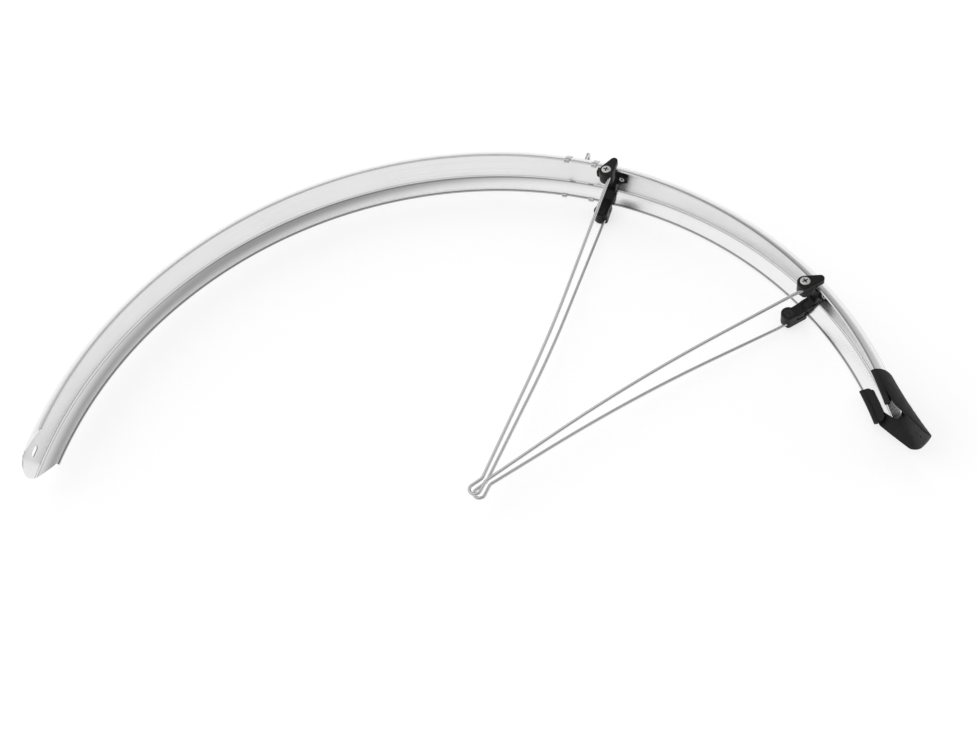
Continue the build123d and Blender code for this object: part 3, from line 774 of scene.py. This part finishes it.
def flap_lip(side):
    """Lip of one side: a strip between two lines that go round the hem and along the flange's inside to
    a round edge, as long as the channel but with its corners rounded towards the edge."""
    outer_gap = hem_radius + hem_play + lip_wall
    inner_gap = hem_radius + hem_play
    outer_offset = flap_inner + lip_wall
    outer_leave = np.degrees(np.arcsin(outer_offset / outer_gap))
    inner_leave = np.degrees(np.arcsin(flap_inner / inner_gap))
    outer_share = outer_gap * np.cos(np.radians(outer_leave)) / flange_length
    inner_share = inner_gap * np.cos(np.radians(inner_leave)) / flange_length
    tip_share = lip_reaches[side] / flange_length
    outer_roll = hem_line(outer_gap, lip_start, 360.0 - outer_leave, lip_roll_count + 1)[:-1]
    inner_roll = hem_line(inner_gap, lip_start, 360.0 - inner_leave, lip_roll_count + 1)[:-1]
    outer_flat = flange_line(-outer_offset, outer_share, tip_share, lip_flat_count)
    inner_flat = flange_line(-flap_inner, inner_share, tip_share, lip_flat_count)
    outer = np.concatenate([outer_roll, outer_flat])
    inner = np.concatenate([inner_roll, inner_flat])
    tip_out = outer[-1]
    tip_in = inner[-1]
    turn = np.linspace(0, np.pi, lip_tip_count + 2)[1:-1, None]
    ahead = (outer[-1] - outer[-2]) / np.linalg.norm(outer[-1] - outer[-2])
    round_tip = (tip_out + tip_in) / 2 + (tip_out - tip_in) / 2 * np.cos(turn)
    round_tip = round_tip + lip_wall / 2 * np.sin(turn) * ahead
    loop = np.concatenate([outer, round_tip, inner[::-1]])
    to_tip = np.linalg.norm(loop - (tip_out + tip_in) / 2, axis=1) - lip_wall / 2
    left = np.clip(lip_corner - to_tip, 0, lip_corner) * (loop[:, 0] > hem_centre[0] + lip_wall)
    length = flap_front - lip_corner + np.sqrt(lip_corner**2 - left**2)
    run = np.linspace(-1, 1, lip_rows)[:, None] * length
    set_back = run - side * loop[:, 1] * flap_skew
    return wheel_point(loop[:, 0], flap_angle + np.arcsin(set_back / loop[:, 0]), side * loop[:, 1])


flap = make_piece("flap", [shell(flap_sheet())])
lips = make_piece("lips", [shell(flap_lip(1)), shell(flap_lip(-1))])
hole_outline = circle_line(np.array([flap_hole_place, 0.0]), flap_hole, hole_turns)
holed = cut_away(flap, [punch(hole_outline, flap_angle, crease_radius, 0.0, tongue_depth)])
joined = bmesh.new()
joined.from_mesh(holed)
joined.from_mesh(lips.data)
joined.to_mesh(flap.data)
joined.free()
flap.data.set_sharp_from_angle(angle=sharp_angle)
bpy.data.objects.remove(lips)
rubber, tree, shader, place = new_finish("flap_rubber", 0.0)
bloom = pattern(tree, mottle, place, Scale=45.0, Low=0.0, High=1.0)
shader.inputs["Specular IOR Level"].default_value = 0.25
tint(tree, shader, bloom, dark_rubber, light_rubber)
roughen(tree, shader, place, scale=200.0, low=0.46, high=0.6)
pores = pattern(tree, mottle, place, Scale=1200.0, Low=0.0, High=1.0)
relief(tree, shader, pores, strength=0.25, distance=0.0001)
flap.data.materials.append(rubber)
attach(flap, "root")
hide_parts("mud_flap")

# Floor
# A white table top, matt. Seen directly or in the metal it is lifted a little towards white, and it
# keeps the shadow of the mudguard.
floor_reach = 6.0
floor_colour = (0.48, 0.48, 0.48)
floor_lift = 0.68
floor_material = bpy.data.materials.new("white_table")
floor_material.use_nodes = True
tree = floor_material.node_tree
shader = tree.nodes["Principled BSDF"]
shader.inputs["Base Color"].default_value = (*floor_colour, 1)
shader.inputs["Roughness"].default_value = 0.9
shader.inputs["Specular IOR Level"].default_value = 0.0


def seen_directly(tree):
    """1 for rays from the camera and for mirrored and refracted rays, 0 for the rest."""
    path = tree.nodes.new("ShaderNodeLightPath")
    total = path.outputs["Is Camera Ray"]
    for label in ("Is Glossy Ray", "Is Transmission Ray"):
        larger = tree.nodes.new("ShaderNodeMath")
        larger.operation = "MAXIMUM"
        tree.links.new(total, larger.inputs[0])
        tree.links.new(path.outputs[label], larger.inputs[1])
        total = larger.outputs["Value"]
    return total


seen = seen_directly(tree)
lift = tree.nodes.new("ShaderNodeMath")
lift.operation = "MULTIPLY"
lift.inputs[1].default_value = floor_lift
glow = tree.nodes.new("ShaderNodeEmission")
both = tree.nodes.new("ShaderNodeAddShader")
tree.links.new(seen, lift.inputs[0])
tree.links.new(lift.outputs["Value"], glow.inputs["Strength"])
tree.links.new(shader.outputs["BSDF"], both.inputs[0])
tree.links.new(glow.outputs["Emission"], both.inputs[1])
tree.links.new(both.outputs["Shader"], tree.nodes["Material Output"].inputs["Surface"])
floor_mesh = bpy.data.meshes.new("floor")
floor_corners = np.array([[-1, -1, 0], [1, -1, 0], [1, 1, 0], [-1, 1, 0]]) * floor_reach
floor_mesh.from_pydata(floor_corners.tolist(), [], [(0, 1, 2, 3)])
floor_mesh.materials.append(floor_material)
floor = bpy.data.objects.new("floor", floor_mesh)
scene.collection.objects.link(floor)

# Light
# A pale room, brightest overhead and towards the back left, dimmer on the viewer's side, with a pale
# wall on the right. Behind the floor's far edge it is plain white.
light_axis = (-0.55, 0.15, 0.82)
light_fade = (0.42, 0.88)
dim_level = 0.32
bright_level = 1.02
wall_axis = (0.98, 0.10, 0.10)
wall_fade = (0.55, 0.98)
wall_level = 0.55
world = bpy.data.worlds.new("pale_room")
scene.world = world
world.use_nodes = True
tree = world.node_tree
room = tree.nodes["Background"]
room.inputs["Color"].default_value = (1, 1, 1, 1)
source = tree.nodes.new("ShaderNodeTexCoord")
towards = tree.nodes.new("ShaderNodeVectorMath")
towards.operation = "DOT_PRODUCT"
towards.inputs[1].default_value = light_axis
level = tree.nodes.new("ShaderNodeMapRange")
level.interpolation_type = "SMOOTHSTEP"
level.inputs["From Min"].default_value = light_fade[0]
level.inputs["From Max"].default_value = light_fade[1]
level.inputs["To Min"].default_value = dim_level
level.inputs["To Max"].default_value = bright_level
sideways = tree.nodes.new("ShaderNodeVectorMath")
sideways.operation = "DOT_PRODUCT"
sideways.inputs[1].default_value = wall_axis
wall = tree.nodes.new("ShaderNodeMapRange")
wall.interpolation_type = "SMOOTHSTEP"
wall.inputs["From Min"].default_value = wall_fade[0]
wall.inputs["From Max"].default_value = wall_fade[1]
wall.inputs["To Max"].default_value = wall_level
total = tree.nodes.new("ShaderNodeMath")
path = tree.nodes.new("ShaderNodeLightPath")
backdrop = tree.nodes.new("ShaderNodeMix")
backdrop.inputs["B"].default_value = 1.0
tree.links.new(source.outputs["Generated"], towards.inputs[0])
tree.links.new(towards.outputs["Value"], level.inputs["Value"])
tree.links.new(path.outputs["Is Camera Ray"], backdrop.inputs["Factor"])
tree.links.new(source.outputs["Generated"], sideways.inputs[0])
tree.links.new(sideways.outputs["Value"], wall.inputs["Value"])
tree.links.new(level.outputs["Result"], total.inputs[0])
tree.links.new(wall.outputs["Result"], total.inputs[1])
tree.links.new(total.outputs["Value"], backdrop.inputs["A"])
tree.links.new(backdrop.outputs["Result"], room.inputs["Strength"])

# Camera
# It looks down on the mudguard from the open side of the arc, turned a little to one side, as the
# photograph was taken.
camera_lens = 55
camera_film = 36
camera_place = (0.14525, -0.80217, 1.04915)
camera_turn = np.radians((35.8118, 6.8755, 0.0))
camera_data = bpy.data.cameras.new("camera")
camera_data.lens = camera_lens
camera_data.sensor_width = camera_film
camera_data.sensor_fit = "HORIZONTAL"
camera = bpy.data.objects.new("camera", camera_data)
camera.location = camera_place
camera.rotation_euler = camera_turn
scene.collection.objects.link(camera)
scene.camera = camera
scene.view_settings.view_transform = "Standard"
